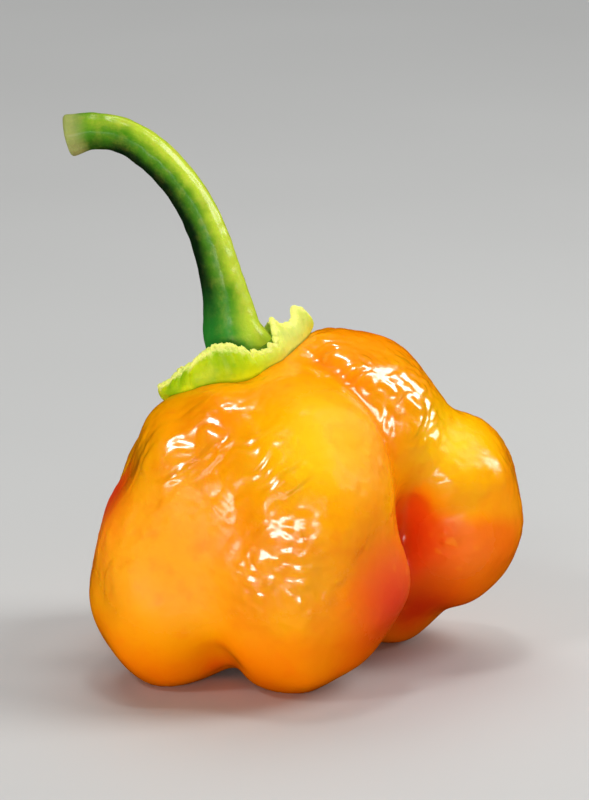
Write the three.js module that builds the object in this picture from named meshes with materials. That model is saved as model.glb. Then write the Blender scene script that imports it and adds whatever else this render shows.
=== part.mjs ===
// A ripe scotch bonnet pepper, as picked, in three pieces that grew together:
// the lobed orange fruit, the ruffled green calyx on its crown and the hooked stalk.
// Millimetres, +Z up. The fruit stands on four of its lobes, on the plane z = 0,
// and the origin is on that plane under the middle of the whole.

import * as THREE from 'three';
import { mergeVertices } from 'three/addons/utils/BufferGeometryUtils.js';

// ---- driving dimensions: the fruit ----

// The fruit is a blend of ellipsoids: centre, three radii, and lean about +Y in degrees.
const LOBES = {
  core: { centre: [-1.0, 0.0, 17.5], radii: [13.0, 12.5, 12.5], lean: 0 },
  crown: { centre: [-0.6, -1.6, 25.0], radii: [8.2, 7.6, 7.6], lean: -20 },
  frontLeft: { centre: [-13.0, -6.5, 12.2], radii: [8.2, 9.5, 12.0], lean: 10 },
  leftFoot: { centre: [-12.2, -6.5, 7.9], radii: [7.1, 8.5, 8.1], lean: 0 },
  leftShoulder: { centre: [-8.5, -5.5, 22.5], radii: [8.2, 9.0, 9.2], lean: 20 },
  frontWeb: { centre: [-6.4, -7.0, 15.5], radii: [5.5, 9.8, 10.0], lean: 0 },
  frontTop: { centre: [1.0, -7.5, 21.8], radii: [9.2, 10.2, 10.4], lean: 0 },
  front: { centre: [0.6, -9.0, 16.0], radii: [8.8, 10.9, 13.0], lean: 0 },
  frontFoot: { centre: [-0.4, -9.5, 9.4], radii: [8.9, 9.5, 9.9], lean: 0 },
  frontFlank: { centre: [5.6, -8.5, 11.2], radii: [6.0, 7.5, 7.0], lean: 0 },
  rightRidge: { centre: [6.8, 2.5, 26.2], radii: [10.4, 9.5, 8.2], lean: 38 },
  rightUpper: { centre: [15.8, 4.5, 19.0], radii: [7.4, 9.0, 7.0], lean: 0 },
  rightLower: { centre: [15.8, 5.0, 12.2], radii: [7.4, 8.5, 7.2], lean: 0 },
  rightCheek: { centre: [18.8, 3.5, 15.0], radii: [4.8, 7.0, 7.0], lean: 0 },
  rightFoot: { centre: [9.0, 7.5, 7.9], radii: [8.5, 8.5, 8.5], lean: 0 },
  rearLeft: { centre: [-11.0, 8.0, 12.9], radii: [8.8, 9.5, 13.8], lean: 8 },
  rearShoulder: { centre: [-5.0, 6.0, 21.0], radii: [8.0, 9.0, 9.0], lean: 0 },
  rear: { centre: [2.5, 10.5, 18.0], radii: [9.5, 9.0, 13.5], lean: 0 },
};

// Hollows pressed into the skin: centre, reach and depth.
const HOLLOWS = {
  furrowPit: { centre: [11.0, -3.0, 15.0], reach: 4.5, depth: 1.3 },
  flankDent: { centre: [6.6, -16.0, 15.0], reach: 3.6, depth: 0.6 },
  blossomEnd: { centre: [-1.0, 0.5, 4.5], reach: 4.0, depth: 1.6 },
};

// Creases that run over the skin: the points they pass, their reach across and their
// depth. A depth below zero is a fold that stands up.
const CREASES = {
  frontEdge: {
    route: [
      [2.6, -3.0, 33.6], [4.8, -5.3, 32.6], [7.0, -6.6, 31.0], [8.7, -7.8, 29.0],
      [10.0, -8.8, 26.6], [10.8, -9.0, 24.0], [11.4, -7.8, 20.8], [11.6, -4.6, 17.4],
    ],
    reach: 1.7,
    depth: 0.75,
  },
  leftValley: {
    route: [
      [-11.8, -10.4, 28.9], [-10.6, -13.8, 24.9], [-9.6, -15.7, 20.4],
      [-8.5, -16.9, 14.7], [-7.7, -16.6, 9.1], [-7.5, -14.4, 4.2],
    ],
    reach: 2.4,
    depth: 0.35,
  },
  notch: { route: [[-7.4, -14.0, 3.6], [-7.2, -10.0, 1.4]], reach: 2.4, depth: 0.7 },
  leftFold: {
    route: [[-13.4, -8.6, 28.6], [-14.0, -11.4, 26.0], [-13.9, -12.8, 23.6], [-13.4, -14.0, 21.2]],
    reach: 1.4,
    depth: -0.2,
  },
  rightCrease: {
    route: [[12.1, -3.4, 17.5], [14.2, -3.7, 16.5], [16.7, -4.4, 17.0], [19.2, -3.9, 17.7]],
    reach: 1.3,
    depth: 0.4,
  },
};

const FURROW_SOFTNESS = 1.2; // how widely two lobes run into each other
const DIMPLE_DEPTH = 0.12; // soft unevenness all over the skin
const DIMPLE_WAVES = [[0.85, 0.2, 0.22], [-0.35, 0.8, 0.3], [0.3, -0.45, 0.62]]; // radians per millimetre
const FRUIT_MIDDLE = new THREE.Vector3(3.0, 4.0, 16.5);
const FRUIT_REACH = 34; // every lobe lies inside this radius round the middle
const FRUIT_DIVISIONS = 24; // squares along each side of the cube that becomes the skin

// ---- driving dimensions: the calyx ----

const CALYX_MIDDLE = new THREE.Vector3(-5.4, 0.8, 32.9);
const CALYX_LEAN = 25; // degrees, towards -X
const CALYX_WALL = 0.8;
const CALYX_FLOOR = 0.8;
const CALYX_BULGE = 0.3; // how far the wall bulges outwards half-way up
const RIM_ROUNDING = 0.25;
const HUB_RADIUS = 3.9; // the flat boss that carries the stalk
const HUB_HEIGHT = 0.7; // over the calyx's plane
const CALYX_SIDES = 72;
const SEAT_SHARES = [0.25, 0.5, 0.75, 1]; // rings of the underside, from its middle to its foot
const WALL_SHARES = [0.35, 0.7]; // rings between the foot and the rim

// The ruffled outline, anticlockwise from +X: angle in degrees, radius where it
// leaves the fruit, radius of the rim, and height of the rim over the calyx's plane.
const RUFFLES = [
  [0, 6.8, 7.7, 2.3],
  [14, 7.5, 8.3, 0.5],
  [32, 7.6, 8.8, 1.0],
  [50, 7.3, 7.9, -0.4],
  [68, 7.2, 8.4, 0.3],
  [88, 7.2, 8.0, -0.5],
  [106, 7.4, 8.7, 0.7],
  [124, 7.6, 8.3, -0.1],
  [142, 7.9, 8.9, 0.4],
  [160, 8.1, 8.6, 0.1],
  [178, 8.5, 9.2, 0.4],
  [195, 9.2, 9.6, 1.1],
  [210, 9.4, 8.8, 1.8],
  [226, 8.9, 7.8, 2.5],
  [242, 8.0, 7.1, 3.0],
  [258, 6.9, 6.4, 3.4],
  [272, 6.2, 5.7, 2.4],
  [286, 5.7, 5.3, 1.2],
  [300, 5.4, 5.2, 0.5],
  [313, 5.5, 5.9, 0.6],
  [324, 5.4, 5.6, 1.0],
  [337, 5.5, 5.4, 2.4],
  [349, 6.0, 6.4, 1.3],
];

// ---- driving dimensions: the stalk ----

const STALK_FOOT_RADIUS = 3.7; // where it stands on the hub

// Points along the stalk's middle line, from just over the hub to the broken end, and its radius there.
const STALK = [
  { at: [-6.5, 0.8, 35.7], radius: 3.1 },
  { at: [-7.0, 0.8, 38.5], radius: 2.6 },
  { at: [-7.6, 0.8, 41.3], radius: 2.25 },
  { at: [-8.4, 0.9, 44.3], radius: 2.1 },
  { at: [-9.5, 1.1, 47.3], radius: 2.0 },
  { at: [-10.8, 1.3, 49.8], radius: 1.95 },
  { at: [-12.5, 1.6, 52.1], radius: 1.9 },
  { at: [-14.8, 2.0, 54.4], radius: 1.9 },
  { at: [-17.9, 2.4, 56.3], radius: 1.85 },
  { at: [-21.2, 2.8, 56.7], radius: 1.95 },
  { at: [-23.4, 3.0, 56.2], radius: 2.2 },
];
const STALK_STEPS = 34;
const STALK_SIDES = 20;
const STALK_RIB_SHARE = 0.05; // how far its soft angles stand out, as a share of the radius
const STALK_RIBS = 5;
const SCAR_ROUNDING = 0.35; // of the broken end's edge

// ---- shared values ----

const JOIN_GAP = 0.3; // clearance that separate faceted solids keep where they meet
const DEGREE = Math.PI / 180;
const TRACE_STEPS = 48;
const TRACE_STRIDE = 0.8; // share of the distance taken by each step, because it is an estimate
const SLOPE_STEP = 0.05;
const SETTLE_ROUNDS = 24;
const SETTLE_SHARE = 0.5; // of the way towards the middle of its neighbours
const SEAT_CLEARANCE = 8; // a height over the calyx's plane that is surely above the fruit
const UP = new THREE.Vector3(0, 0, 1);
const SIDEWAYS = new THREE.Vector3(0, 1, 0);

// ---- the fruit's surface ----

const lobes = Object.values(LOBES).map(({ centre, radii, lean }) => ({
  centre: new THREE.Vector3(...centre),
  radii: new THREE.Vector3(...radii),
  lean: lean * DEGREE,
}));

const hollows = Object.values(HOLLOWS).map(({ centre, reach, depth }) => ({
  centre: new THREE.Vector3(...centre),
  reach,
  depth,
}));

const creases = Object.values(CREASES).map(({ route, reach, depth }) => {
  const stops = route.map((stop) => new THREE.Vector3(...stop));
  const stretches = stops.slice(1).map((stop, i) => new THREE.Line3(stops[i], stop));
  return { stretches, reach, depth };
});

const waves = DIMPLE_WAVES.map((wave) => new THREE.Vector3(...wave));

// An ellipsoid's distance, negative inside, good close to its surface.
function lobeDistance(point, lobe) {
  const local = point.clone().sub(lobe.centre).applyAxisAngle(SIDEWAYS, -lobe.lean);
  const scaled = local.divide(lobe.radii);
  const share = scaled.length();
  const slope = scaled.divide(lobe.radii).length();
  return share * (share - 1) / Math.max(slope, Number.EPSILON);
}

function dimples(point) {
  const heights = waves.map((wave, i) => Math.sin(wave.dot(point) + i));
  return DIMPLE_DEPTH * heights.reduce((sum, height) => sum + height, 0);
}

// How much of a hollow's or crease's depth is left at a distance from it.
function fading(squaredDistance, reach) {
  return Math.exp(-squaredDistance / (reach * reach));
}

function squaredDistanceToRoute(point, stretches) {
  const squares = stretches.map((stretch) => {
    const nearest = stretch.closestPointToPoint(point, true, new THREE.Vector3());
    return nearest.distanceToSquared(point);
  });
  return Math.min(...squares);
}

// Distance to the skin, negative inside: the lobes blended, less the hollows and creases.
function skinDistance(point) {
  const gaps = lobes.map((lobe) => lobeDistance(point, lobe));
  const nearest = Math.min(...gaps);
  const shares = gaps.map((gap) => Math.exp((nearest - gap) / FURROW_SOFTNESS));
  const total = shares.reduce((sum, share) => sum + share, 0);
  let pressed = dimples(point);
  for (const { centre, reach, depth } of hollows) {
    pressed += depth * fading(point.distanceToSquared(centre), reach);
  }
  for (const { stretches, reach, depth } of creases) {
    pressed += depth * fading(squaredDistanceToRoute(point, stretches), reach);
  }
  return nearest - FURROW_SOFTNESS * Math.log(total) + pressed;
}

function skinSlope(point) {
  const slope = new THREE.Vector3();
  for (let axis = 0; axis < 3; axis++) {
    const ahead = point.clone();
    const behind = point.clone();
    ahead.setComponent(axis, point.getComponent(axis) + SLOPE_STEP);
    behind.setComponent(axis, point.getComponent(axis) - SLOPE_STEP);
    slope.setComponent(axis, (skinDistance(ahead) - skinDistance(behind)) / (2 * SLOPE_STEP));
  }
  return slope;
}

// Goes from start along a unit direction until it meets the skin from outside.
function meetSkin(start, direction) {
  const point = start.clone();
  for (let step = 0; step < TRACE_STEPS; step++) {
    point.addScaledVector(direction, TRACE_STRIDE * skinDistance(point));
  }
  return point;
}

// The six faces of a cube, evenly spread over a sphere, each point then drawn in to the skin.
function fruitGeometry() {
  const cube = new THREE.BoxGeometry(2, 2, 2, FRUIT_DIVISIONS, FRUIT_DIVISIONS, FRUIT_DIVISIONS);
  const geometry = bareGeometry(cube);
  const points = readPoints(geometry).map((corner) => {
    const outward = new THREE.Vector3(...corner.toArray().map((side) => Math.tan(side * Math.PI / 4)));
    outward.normalize();
    const start = FRUIT_MIDDLE.clone().addScaledVector(outward, FRUIT_REACH);
    return meetSkin(start, outward.negate());
  });
  settle(points, geometry.index);
  for (const point of points) {
    point.z = Math.max(point.z, 0);
  }
  writePoints(geometry, points);
  return geometry;
}

// Evens out the spacing of the points and puts each one back on the skin.
function settle(points, index) {
  for (let round = 0; round < SETTLE_ROUNDS; round++) {
    const sums = points.map(() => new THREE.Vector3());
    const counts = new Array(points.length).fill(0);
    for (let corner = 0; corner < index.count; corner++) {
      const next = corner % 3 === 2 ? corner - 2 : corner + 1;
      const a = index.getX(corner);
      const b = index.getX(next);
      sums[a].add(points[b]);
      sums[b].add(points[a]);
      counts[a] += 1;
      counts[b] += 1;
    }
    points.forEach((point, i) => {
      point.lerp(sums[i].divideScalar(counts[i]), SETTLE_SHARE);
      const slope = skinSlope(point);
      point.addScaledVector(slope, -skinDistance(point) / slope.lengthSq());
    });
  }
}

// ---- the calyx ----

const calyxTilt = new THREE.Matrix4().makeRotationY(-CALYX_LEAN * DEGREE).setPosition(CALYX_MIDDLE);
const calyxAxis = UP.clone().applyAxisAngle(SIDEWAYS, -CALYX_LEAN * DEGREE);

// Height of the fruit's skin over the calyx's plane, at a place on that plane.
function seatHeight(x, y) {
  const start = new THREE.Vector3(x, y, SEAT_CLEARANCE).applyMatrix4(calyxTilt);
  const seat = meetSkin(start, calyxAxis.clone().negate());
  return seat.sub(start).dot(calyxAxis) + SEAT_CLEARANCE;
}

// One closed smooth curve through the ruffles: a radius and a height for each.
function ruffledCurve(measure) {
  const points = RUFFLES.map((ruffle) => {
    const angle = ruffle[0] * DEGREE;
    const [radius, height] = measure(ruffle);
    return new THREE.Vector3(radius * Math.cos(angle), radius * Math.sin(angle), height);
  });
  return new THREE.CatmullRomCurve3(points, true);
}

function ringAlong(curve, place) {
  return Array.from({ length: CALYX_SIDES }, (_, side) => place(curve.getPoint(side / CALYX_SIDES)));
}

const footCurve = ruffledCurve(([, foot]) => [foot, 0]);
const rimCurve = ruffledCurve(([, , rim, height]) => [rim, height]);

// A ring that follows the fruit's skin, lifted off it, at a share of the foot's radius.
function seatRing(share, lift) {
  return ringAlong(footCurve, (foot) => {
    const place = foot.multiplyScalar(share);
    return place.setZ(seatHeight(place.x, place.y) + lift);
  });
}

// A ring between two others, moved outwards and upwards.
function ringBetween(from, to, share, outwards, upwards = 0) {
  return from.map((start, side) => {
    const point = start.clone().lerp(to[side], share);
    const outward = new THREE.Vector3(point.x, point.y, 0).setLength(outwards);
    return point.add(outward.setZ(upwards));
  });
}

function hubRing() {
  return ringAlong(footCurve, (foot) => foot.setLength(HUB_RADIUS).setZ(HUB_HEIGHT));
}

function calyxGeometry() {
  const underside = SEAT_SHARES.map((share) => seatRing(share, JOIN_GAP));
  const foot = underside.at(-1);
  const rim = ringAlong(rimCurve, (point) => point);
  const innerFoot = ringBetween(seatRing(1, JOIN_GAP + CALYX_FLOOR), rim, 0, -CALYX_WALL);
  const innerRim = ringBetween(rim, rim, 0, -CALYX_WALL);
  const rings = [
    ...underside,
    ...WALL_SHARES.map((share) => ringBetween(foot, rim, share, CALYX_BULGE)),
    rim,
    ringBetween(rim, innerRim, 0.5, 0, RIM_ROUNDING),
    innerRim,
    ringBetween(innerFoot, innerRim, 0.5, 0),
    innerFoot,
    hubRing(),
  ];
  return closedSurface(rings).applyMatrix4(calyxTilt);
}

// ---- the stalk ----

function stalkGeometry() {
  const start = CALYX_MIDDLE.clone().addScaledVector(calyxAxis, HUB_HEIGHT + JOIN_GAP);
  const path = new THREE.CatmullRomCurve3([start, ...STALK.map(({ at }) => new THREE.Vector3(...at))]);
  const radii = [STALK_FOOT_RADIUS, ...STALK.map(({ radius }) => radius)];
  const girth = new THREE.CatmullRomCurve3(radii.map((radius, i) => new THREE.Vector3(i, radius, 0)));
  const { tangents, normals, binormals } = path.computeFrenetFrames(STALK_STEPS, false);
  const rings = [];
  for (let step = 0; step <= STALK_STEPS; step++) {
    const along = step / STALK_STEPS;
    const radius = girth.getPoint(path.getUtoTmapping(along)).y;
    rings.push(stalkRing(path.getPointAt(along), normals[step], binormals[step], radius));
  }
  layOnPlane(rings[0], start, calyxAxis, tangents[0]);
  rings.push(scarRing(rings.at(-1), tangents.at(-1)));
  return closedSurface(rings);
}

// One slightly angular section across the stalk.
function stalkRing(middle, normal, binormal, radius) {
  return Array.from({ length: STALK_SIDES }, (_, side) => {
    const angle = side / STALK_SIDES * 2 * Math.PI;
    const reach = radius * (1 + STALK_RIB_SHARE * Math.cos(STALK_RIBS * angle));
    const point = middle.clone().addScaledVector(normal, reach * Math.cos(angle));
    return point.addScaledVector(binormal, reach * Math.sin(angle));
  });
}

// Slides each point along a direction until it lies on a plane.
function layOnPlane(points, origin, planeNormal, direction) {
  for (const point of points) {
    const height = point.clone().sub(origin).dot(planeNormal);
    point.addScaledVector(direction, -height / direction.dot(planeNormal));
  }
}

// The smaller ring that rounds the broken end off.
function scarRing(lastRing, tangent) {
  const middle = middleOf(lastRing);
  return lastRing.map((point) => {
    const inward = middle.clone().sub(point).setLength(SCAR_ROUNDING);
    return point.clone().add(inward).addScaledVector(tangent, SCAR_ROUNDING);
  });
}

// ---- geometry helpers ----

// Only the positions and the triangles, with the shared points merged.
function bareGeometry(geometry) {
  const bare = new THREE.BufferGeometry();
  bare.setAttribute('position', geometry.getAttribute('position'));
  bare.setIndex(geometry.getIndex());
  return mergeVertices(bare);
}

function middleOf(points) {
  const sum = points.reduce((total, point) => total.add(point), new THREE.Vector3());
  return sum.divideScalar(points.length);
}

// A closed surface over a row of rings, with a fan of triangles across each end.
function closedSurface(rings) {
  const sides = rings[0].length;
  const points = [middleOf(rings[0]), ...rings.flat(), middleOf(rings.at(-1))];
  const end = points.length - 1;
  const triangles = [];
  for (let side = 0; side < sides; side++) {
    const next = (side + 1) % sides;
    triangles.push(0, 1 + next, 1 + side);
    for (let row = 0; row < rings.length - 1; row++) {
      const low = 1 + row * sides;
      const high = low + sides;
      triangles.push(low + side, low + next, high + side);
      triangles.push(low + next, high + next, high + side);
    }
    triangles.push(end - sides + side, end - sides + next, end);
  }
  const geometry = new THREE.BufferGeometry().setFromPoints(points);
  geometry.setIndex(triangles);
  geometry.computeVertexNormals();
  return geometry;
}

function readPoints(geometry) {
  const position = geometry.getAttribute('position');
  const order = [...Array(position.count).keys()];
  return order.map((i) => new THREE.Vector3().fromBufferAttribute(position, i));
}

function writePoints(geometry, points) {
  const position = geometry.getAttribute('position');
  points.forEach((point, i) => position.setXYZ(i, point.x, point.y, point.z));
  geometry.computeVertexNormals();
}

// ---- materials and assembly ----

function skinMaterial() {
  return new THREE.MeshStandardMaterial({ color: 0xf58a1c, roughness: 0.32, metalness: 0 });
}

function calyxMaterial() {
  return new THREE.MeshStandardMaterial({ color: 0xb4cd1e, roughness: 0.45, metalness: 0 });
}

function stalkMaterial() {
  return new THREE.MeshStandardMaterial({ color: 0x4f8a2c, roughness: 0.42, metalness: 0 });
}

function piece(name, geometry, material) {
  const mesh = new THREE.Mesh(geometry, material);
  mesh.name = name;
  return mesh;
}

const group = new THREE.Group();
group.add(piece('fruit', fruitGeometry(), skinMaterial()));
group.add(piece('calyx', calyxGeometry(), calyxMaterial()));
group.add(piece('stalk', stalkGeometry(), stalkMaterial()));

export default group;
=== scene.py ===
# A ripe scotch bonnet pepper as picked: the lobed glossy fruit, the ruffled calyx on its
# crown and the hooked green stalk. Forms are in millimetres, in the frame of the part,
# and become metres as the pieces are added.

import math

import bmesh
import bpy
import numpy as np
from mathutils import Matrix, Vector, noise


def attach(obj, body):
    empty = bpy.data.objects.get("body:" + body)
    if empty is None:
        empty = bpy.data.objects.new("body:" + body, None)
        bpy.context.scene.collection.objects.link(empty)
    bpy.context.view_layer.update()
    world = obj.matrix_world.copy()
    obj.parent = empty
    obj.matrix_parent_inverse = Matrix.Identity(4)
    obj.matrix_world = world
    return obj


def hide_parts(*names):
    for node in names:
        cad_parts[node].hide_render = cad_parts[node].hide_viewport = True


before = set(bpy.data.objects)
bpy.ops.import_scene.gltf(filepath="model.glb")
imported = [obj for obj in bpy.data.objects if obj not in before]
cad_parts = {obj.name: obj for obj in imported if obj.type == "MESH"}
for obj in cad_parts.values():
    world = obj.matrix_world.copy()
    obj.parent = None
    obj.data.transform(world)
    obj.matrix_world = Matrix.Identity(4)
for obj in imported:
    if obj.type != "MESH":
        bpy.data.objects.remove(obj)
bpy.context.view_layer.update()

MM = 0.001
TINY = 1e-9
NOISE_SEED = 7  # the relief's warp draws its offsets from it
NOISE_REACH = 0.5  # what the smooth noise seldom goes beyond, either way
UP = np.array((0.0, 0.0, 1.0))

# ---- the fruit's form ----

# Each lobe is an ellipsoid: centre, three radii, and lean about +Y in degrees.
LOBES = {
    "core": ((-1.0, 0.0, 17.5), (13.0, 12.5, 12.5), 0),
    "crown": ((-0.6, -1.6, 25.0), (8.2, 7.6, 7.6), -20),
    "front_left": ((-13.0, -6.5, 12.2), (8.2, 9.5, 12.0), 10),
    "left_foot": ((-12.2, -6.5, 7.9), (7.1, 8.5, 8.1), 0),
    "left_shoulder": ((-8.5, -5.5, 22.5), (8.2, 9.0, 9.2), 20),
    "front_web": ((-6.4, -7.0, 15.5), (5.5, 9.8, 10.0), 0),
    "front_top": ((1.0, -7.5, 21.8), (9.2, 10.2, 10.4), 0),
    "front": ((0.6, -9.0, 16.0), (8.8, 10.9, 13.0), 0),
    "front_foot": ((-0.4, -9.5, 9.4), (8.9, 9.5, 9.9), 0),
    "front_flank": ((5.6, -8.5, 11.2), (6.0, 7.5, 7.0), 0),
    "right_ridge": ((6.8, 2.5, 26.2), (10.4, 9.5, 8.2), 38),
    "right_upper": ((15.8, 4.5, 19.0), (7.4, 9.0, 7.0), 0),
    "right_lower": ((15.8, 5.0, 12.2), (7.4, 8.5, 7.2), 0),
    "right_cheek": ((18.8, 3.5, 15.0), (4.8, 7.0, 7.0), 0),
    "right_foot": ((9.0, 7.5, 7.9), (8.5, 8.5, 8.5), 0),
    "rear_left": ((-11.0, 8.0, 12.9), (8.8, 9.5, 13.8), 8),
    "rear_shoulder": ((-5.0, 6.0, 21.0), (8.0, 9.0, 9.0), 0),
    "rear": ((2.5, 10.5, 18.0), (9.5, 9.0, 13.5), 0),
}

# Hollows pressed into the skin: centre, reach and depth.
HOLLOWS = {
    "furrow_pit": ((11.0, -3.0, 15.0), 4.5, 1.3),
    "flank_dent": ((6.6, -16.0, 15.0), 3.6, 0.6),
    "blossom_end": ((-1.0, 0.5, 4.5), 4.0, 1.6),
}

# Creases that run over the skin: the points they pass, their reach across and their depth.
# A depth below zero is a fold that stands up.
CREASES = {
    "front_edge": (
        [(2.6, -3.0, 33.6), (4.8, -5.3, 32.6), (7.0, -6.6, 31.0), (8.7, -7.8, 29.0),
         (10.0, -8.8, 26.6), (10.8, -9.0, 24.0), (11.4, -7.8, 20.8), (11.6, -4.6, 17.4)],
        1.7, 0.75),
    "left_valley": (
        [(-11.8, -10.4, 28.9), (-10.6, -13.8, 24.9), (-9.6, -15.7, 20.4), (-8.5, -16.9, 14.7),
         (-7.7, -16.6, 9.1), (-7.5, -14.4, 4.2)],
        2.4, 0.35),
    "notch": ([(-7.4, -14.0, 3.6), (-7.2, -10.0, 1.4)], 2.4, 0.7),
    "left_fold": (
        [(-13.4, -8.6, 28.6), (-14.0, -11.4, 26.0), (-13.9, -12.8, 23.6), (-13.4, -14.0, 21.2)],
        1.4, -0.2),
    "right_crease": (
        [(12.1, -3.4, 17.5), (14.2, -3.7, 16.5), (16.7, -4.4, 17.0), (19.2, -3.9, 17.7)],
        1.3, 0.4),
}

FURROW_SOFTNESS = 1.2
DIMPLE_DEPTH = 0.12
DIMPLE_WAVES = np.array([(0.85, 0.2, 0.22), (-0.35, 0.8, 0.3), (0.3, -0.45, 0.62)])
FRUIT_MIDDLE = np.array((3.0, 4.0, 16.5))
FRUIT_REACH = 34
FRUIT_DIVISIONS = 32
SUBDIVISION_LEVELS = 2
TRACE_STEPS = 48
TRACE_STRIDE = 0.8
SLOPE_STEP = 0.05
SETTLE_ROUNDS = 24
SETTLE_SHARE = 0.5
SNAP_ROUNDS = 2
EDGE_SHARE = 0.6  # of a crease's reach that its line of painted shade takes
FURROW_LIFT = 3.0  # how far off the skin a point looks for a lobe that overhangs it

# ---- the fruit's wrinkles ----

# Middle and reach of each patch that is puckered into short slanting wrinkles.
PUCKERED = [
    ((-9.0, -12.5, 28.0), 4.6),
    ((-4.0, -15.5, 26.5), 4.4),
    ((-12.0, -13.5, 24.0), 4.2),
    ((-14.0, -11.0, 26.0), 3.0),
    ((0.0, -18.0, 24.0), 4.0),
    ((-16.0, -9.5, 24.5), 3.0),
]

# The same along the right lobe's ridge, where the skin is gathered most.
GATHERED = [
    ((3.4, -1.9, 34.2), 2.2),
    ((6.8, -3.5, 32.9), 2.5),
    ((10.6, -3.8, 30.6), 2.8),
    ((13.6, -3.2, 28.2), 2.8),
    ((15.6, -2.6, 25.8), 2.1),
    ((8.4, -6.0, 31.2), 1.9),
    ((10.6, -6.4, 28.6), 2.1),
    ((12.6, -5.2, 26.0), 2.2),
]

# Middle and reach of each patch of swollen, leathery cells.
CELLED = [
    ((-1.8, -19.6, 17.2), 5.2),
    ((1.0, -19.4, 14.2), 5.2),
    ((-3.0, -19.2, 13.4), 5.0),
    ((17.0, -3.5, 13.5), 2.6),
]

WRINKLE_SLANT = Vector((0.71, 0.0, 0.71))  # the way that the wrinkles run
WRINKLE_STRETCH = 0.42
WRINKLE_SIZE = 1.5
CREASE_ROUNDING = 0.08
WRINKLE_HEIGHT = 0.18
GATHER_HEIGHT = 0.23
CELL_SIZE = 1.5
CELL_HEIGHT = 0.23
WARP_SIZE = 2.6
WARP_REACH = 0.75
WRINKLE_LEVEL = 0.4  # of a wrinkle, at which it leaves the skin where it is
CELL_LEVEL = 0.5
CELL_STEEPNESS = 1.6
CELL_FULLNESS = 0.7  # below 1 the cell is flatter on top
PATCH_SIZE = 8.0  # of the uneven patches of relief on the rest of the skin
PATCH_MIDDLE = 0.35
PATCH_CONTRAST = 1.3
PATCH_STRENGTH = 0.6
LEAST_RELIEF = 0.22  # share of the relief that the smoothest skin keeps
PUCKER_SPREAD = 0.4  # how much of the uneven patches is puckered, and how much is celled
CELL_SPREAD = 0.7
SMOOTH_BELOW = 7.0  # height under which the skin is drawn tight

# ---- the calyx ----

CALYX_MIDDLE = Vector((-5.4, 0.8, 32.9))
CALYX_LEAN = 25  # degrees, towards -X
CALYX_WALL = 0.8
CALYX_FLOOR = 0.8
CALYX_BULGE = 0.3
CALYX_SINK = 0.08  # how far its underside presses into the skin
HUB_RADIUS = 3.9
HUB_HEIGHT = 0.7
CALYX_SIDES = 480
SEAT_CLEARANCE = 8

# Anticlockwise from +X: angle in degrees, radius where it leaves the fruit, radius of
# the rim, and height of the rim over the calyx's plane.
RUFFLES = [
    (0, 6.8, 7.7, 2.3),
    (14, 7.5, 8.3, 0.5),
    (32, 7.6, 8.8, 1.0),
    (50, 7.3, 7.9, -0.4),
    (68, 7.2, 8.4, 0.3),
    (88, 7.2, 8.0, -0.5),
    (106, 7.4, 8.7, 0.7),
    (124, 7.6, 8.3, -0.1),
    (142, 7.9, 8.9, 0.4),
    (160, 8.1, 8.6, 0.1),
    (178, 8.5, 9.2, 0.4),
    (195, 9.2, 9.6, 1.1),
    (210, 9.4, 8.8, 1.8),
    (226, 8.9, 7.8, 2.5),
    (242, 8.0, 7.1, 3.0),
    (258, 6.9, 6.4, 3.4),
    (272, 6.2, 5.7, 2.4),
    (286, 5.7, 5.3, 1.2),
    (300, 5.4, 5.2, 0.5),
    (313, 5.5, 5.9, 0.6),
    (324, 5.4, 5.6, 1.0),
    (337, 5.5, 5.4, 2.4),
    (349, 6.0, 6.4, 1.3),
]

LIP_RADIUS = 0.34  # of the rolled edge
LIP_SWING = 0.25  # share by which that radius comes and goes
LIP_TURN_IN = 0.85  # where the rolled edge ends, in shares of its radius
LIP_TURN_DOWN = 0.6
SCALLOP_HEIGHT = 0.5
FRAY_HEIGHT = 0.22
FRILL_REACH = 0.3
VEIN_HEIGHT = 0.16

# How fast each kind of unevenness changes round the calyx, and which layer of the noise
# it is cut from.
SCALLOPS = (9.0, 0.0)
FRILLS = (7.2, 5.0)
VEINS = (11.0, 9.0)
FRAYS = (26.0, 14.0)

# Where the rings of each part of the calyx lie: shares of the way across it, or angles
# round its lip.
UNDERSIDE_SHARES = (0.2, 0.4, 0.6, 0.8, 0.93, 1.0)
WALL_SHARES = np.linspace(0.08, 0.9, 10)
LIP_ANGLES = np.radians(np.linspace(-35, 215, 9))
INNER_SHARES = np.linspace(0.15, 1.0, 6)
BOWL_SHARES = np.linspace(0.2, 1.0, 6)

# ---- the stalk ----

STALK_FOOT_RADIUS = 3.7

# Points along the stalk's middle line, from over the hub to the broken end, and its radius.
STALK = [
    ((-6.5, 0.8, 35.7), 3.1),
    ((-7.0, 0.8, 38.5), 2.6),
    ((-7.6, 0.8, 41.3), 2.25),
    ((-8.4, 0.9, 44.3), 2.1),
    ((-9.5, 1.1, 47.3), 2.0),
    ((-10.8, 1.3, 49.8), 1.95),
    ((-12.5, 1.6, 52.1), 1.9),
    ((-14.8, 2.0, 54.4), 1.9),
    ((-17.9, 2.4, 56.3), 1.85),
    ((-21.2, 2.8, 56.7), 1.95),
    ((-23.4, 3.0, 56.2), 2.2),
]
PAINTED_LIGHT_FROM = np.array((0.85, -0.2, 0.49))  # towards the light that the stalk's painted light and shade come from
STALK_STEPS = 240
STALK_MEASURE_STEPS = 960  # finer ones, along which its length is measured
STALK_SIDES = 96
STALK_RIB_SHARE = 0.025
STALK_RIBS = 5
STALK_SINK = 0.6  # how far its foot stands in the hub
STRIA_RATE = 3.2  # of the fine lines, round the stalk
STRIA_LENGTH = 9
STRIA_HEIGHT = 0.07
KNOB_SIZE = 1.1
KNOB_HEIGHT = 0.06

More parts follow.
